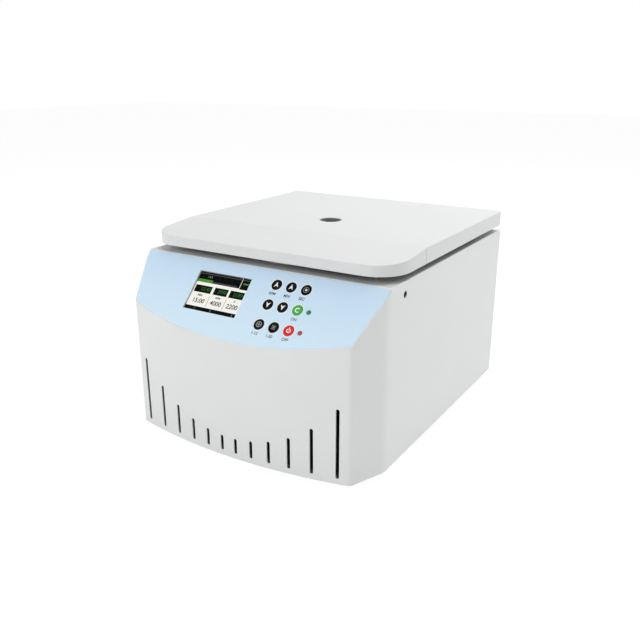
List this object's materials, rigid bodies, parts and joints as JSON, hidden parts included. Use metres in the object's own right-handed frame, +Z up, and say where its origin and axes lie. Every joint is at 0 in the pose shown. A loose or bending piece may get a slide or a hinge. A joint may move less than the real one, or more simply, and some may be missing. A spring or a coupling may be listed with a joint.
{
  "type": "low-speed centrifuge",
  "caption": "Benchtop centrifuge: bowed front with air slots, sloping key panel with display, rear-hinged lid with sight hole, swing-out rotor in a steel bowl.",
  "frame": {"origin": "on the table under the middle of the object's bounding box", "axes": "+X to the right of someone facing the keys, front towards -Y, +Z up"},
  "size_m": [0.374, 0.4546, 0.271],
  "materials": {
    "housing_enamel": "fine textured off-white powder coat",
    "lid_plastic": "satin off-white moulded plastic",
    "liner_plastic": "dark grey formed inner cover",
    "blue_film": "printed pale blue film",
    "display_glass": "clear display front",
    "display_frame": "pressed frame",
    "black_key": "glossy black key",
    "green_key": "glossy green key",
    "red_key": "glossy red key",
    "green_lens": "green lens",
    "red_lens": "red lens",
    "stainless": "spun stainless steel",
    "guard_steel": "rolled steel",
    "zinc_steel": "zinc-plated steel",
    "ground_steel": "ground steel",
    "black_rubber": "matt black rubber",
    "black_plastic": "moulded black plastic",
    "bezel_plastic": "grey moulded bezel",
    "clear_glass": "clear disc",
    "motor_aluminium": "cast aluminium",
    "rotor_aluminium": "anodised aluminium",
    "stator_iron": "laminated iron with copper windings",
    "circuit_board": "green circuit board",
    "brass": "brass"
  },
  "bodies": {
    "housing": {"base_plate": "zinc_steel", "board_spacers": "brass", "chamber_bowl": "stainless", "chamber_gasket": "black_rubber", "control_board": "circuit_board", "display_glass": "display_glass", "display_module": "display_frame", "drive_board": "circuit_board", "fuse_holder": "black_plastic", "guard_ring": "guard_steel", "heat_sink": "motor_aluminium", "hinge_pins": "ground_steel", "housing_hinge_leaves": "zinc_steel", "housing_screws": "zinc_steel", "housing_shell": "housing_enamel", "inlet_pins": "brass", "lock_bracket": "zinc_steel", "lock_solenoid": "stator_iron", "mains_inlet": "black_plastic", "motor_bearings": "stainless", "motor_cap": "motor_aluminium", "motor_housing": "motor_aluminium", "motor_plate": "zinc_steel", "motor_stator": "stator_iron", "panel_overlay": "blue_film", "rear_panel": "housing_enamel", "rubber_feet": "black_rubber", "run_light": "green_lens", "shaft_boot": "black_rubber", "stop_light": "red_lens", "switch_housing": "black_plastic", "transformer": "stator_iron", "vibration_dampers": "black_rubber"},
    "lid": {"lid_cover": "housing_enamel", "lid_front": "lid_plastic", "lid_liner": "liner_plastic", "lid_tongue": "zinc_steel", "lid_hinge_leaves": "zinc_steel", "sight_ring": "bezel_plastic", "sight_glass": "clear_glass"},
    "rotor": {"motor_shaft": "ground_steel", "motor_armature": "stator_iron", "rotor_head": "rotor_aluminium", "rotor_nut": "rotor_aluminium"},
    "lock_bolt": {"lock_bolt": "ground_steel"},
    "power_rocker": {"power_rocker": "black_plastic"},
    "bucket_1": {"bucket_1": "rotor_aluminium"},
    "bucket_2": {"bucket_2": "rotor_aluminium"},
    "bucket_3": {"bucket_3": "rotor_aluminium"},
    "bucket_4": {"bucket_4": "rotor_aluminium"},
    "key_speed_up": {"key_speed_up": "black_key"},
    "key_time_up": {"key_time_up": "black_key"},
    "key_pulse": {"key_pulse": "black_key"},
    "key_speed_down": {"key_speed_down": "black_key"},
    "key_time_down": {"key_time_down": "black_key"},
    "key_start": {"key_start": "green_key"},
    "key_rotor": {"key_rotor": "black_key"},
    "key_program": {"key_program": "black_key"},
    "key_stop": {"key_stop": "red_key"}
  },
  "joints": [
    {"name": "lid_hinge", "type": "hinge", "parent": "housing", "child": "lid", "pos_m": [0, 0.21385, 0.246], "axis": [-1, 0, 0], "range_deg": [0, 75]},
    {"name": "lock_slide", "type": "slide", "parent": "housing", "child": "lock_bolt", "axis": [1, 0, 0], "range_m": [0, 0.012]},
    {"name": "rotor_spin", "type": "hinge", "parent": "housing", "child": "rotor", "pos_m": [0, 0.02235, 0.196], "axis": [0, 0, 1], "continuous": true},
    {"name": "power_rocker_tilt", "type": "hinge", "parent": "housing", "child": "power_rocker", "pos_m": [0.07, 0.22215, 0.0555], "axis": [-1, 0, 0], "range_deg": [0, 16]},
    {"name": "bucket_1_swing", "type": "hinge", "parent": "rotor", "child": "bucket_1", "pos_m": [0.05, 0.02235, 0.196], "axis": [0, -1, 0], "range_deg": [0, 90]},
    {"name": "bucket_2_swing", "type": "hinge", "parent": "rotor", "child": "bucket_2", "pos_m": [0, 0.07235, 0.196], "axis": [1, 0, 0], "range_deg": [0, 90]},
    {"name": "bucket_3_swing", "type": "hinge", "parent": "rotor", "child": "bucket_3", "pos_m": [-0.05, 0.02235, 0.196], "axis": [0, 1, 0], "range_deg": [0, 90]},
    {"name": "bucket_4_swing", "type": "hinge", "parent": "rotor", "child": "bucket_4", "pos_m": [0, -0.02765, 0.196], "axis": [-1, 0, 0], "range_deg": [0, 90]},
    {"name": "key_speed_up_press", "type": "slide", "parent": "housing", "child": "key_speed_up", "axis": [0, 0.7136, -0.7006], "range_m": [0, 0.0005], "stiffness_N_per_m": 3000},
    {"name": "key_time_up_press", "type": "slide", "parent": "housing", "child": "key_time_up", "axis": [0, 0.7136, -0.7006], "range_m": [0, 0.0005], "stiffness_N_per_m": 3000},
    {"name": "key_pulse_press", "type": "slide", "parent": "housing", "child": "key_pulse", "axis": [0, 0.7136, -0.7006], "range_m": [0, 0.0005], "stiffness_N_per_m": 3000},
    {"name": "key_speed_down_press", "type": "slide", "parent": "housing", "child": "key_speed_down", "axis": [0, 0.7136, -0.7006], "range_m": [0, 0.0005], "stiffness_N_per_m": 3000},
    {"name": "key_time_down_press", "type": "slide", "parent": "housing", "child": "key_time_down", "axis": [0, 0.7136, -0.7006], "range_m": [0, 0.0005], "stiffness_N_per_m": 3000},
    {"name": "key_start_press", "type": "slide", "parent": "housing", "child": "key_start", "axis": [0, 0.7136, -0.7006], "range_m": [0, 0.0005], "stiffness_N_per_m": 3000},
    {"name": "key_rotor_press", "type": "slide", "parent": "housing", "child": "key_rotor", "axis": [0, 0.7136, -0.7006], "range_m": [0, 0.0005], "stiffness_N_per_m": 3000},
    {"name": "key_program_press", "type": "slide", "parent": "housing", "child": "key_program", "axis": [0, 0.7136, -0.7006], "range_m": [0, 0.0005], "stiffness_N_per_m": 3000},
    {"name": "key_stop_press", "type": "slide", "parent": "housing", "child": "key_stop", "axis": [0, 0.7136, -0.7006], "range_m": [0, 0.0005], "stiffness_N_per_m": 3000}
  ]
}
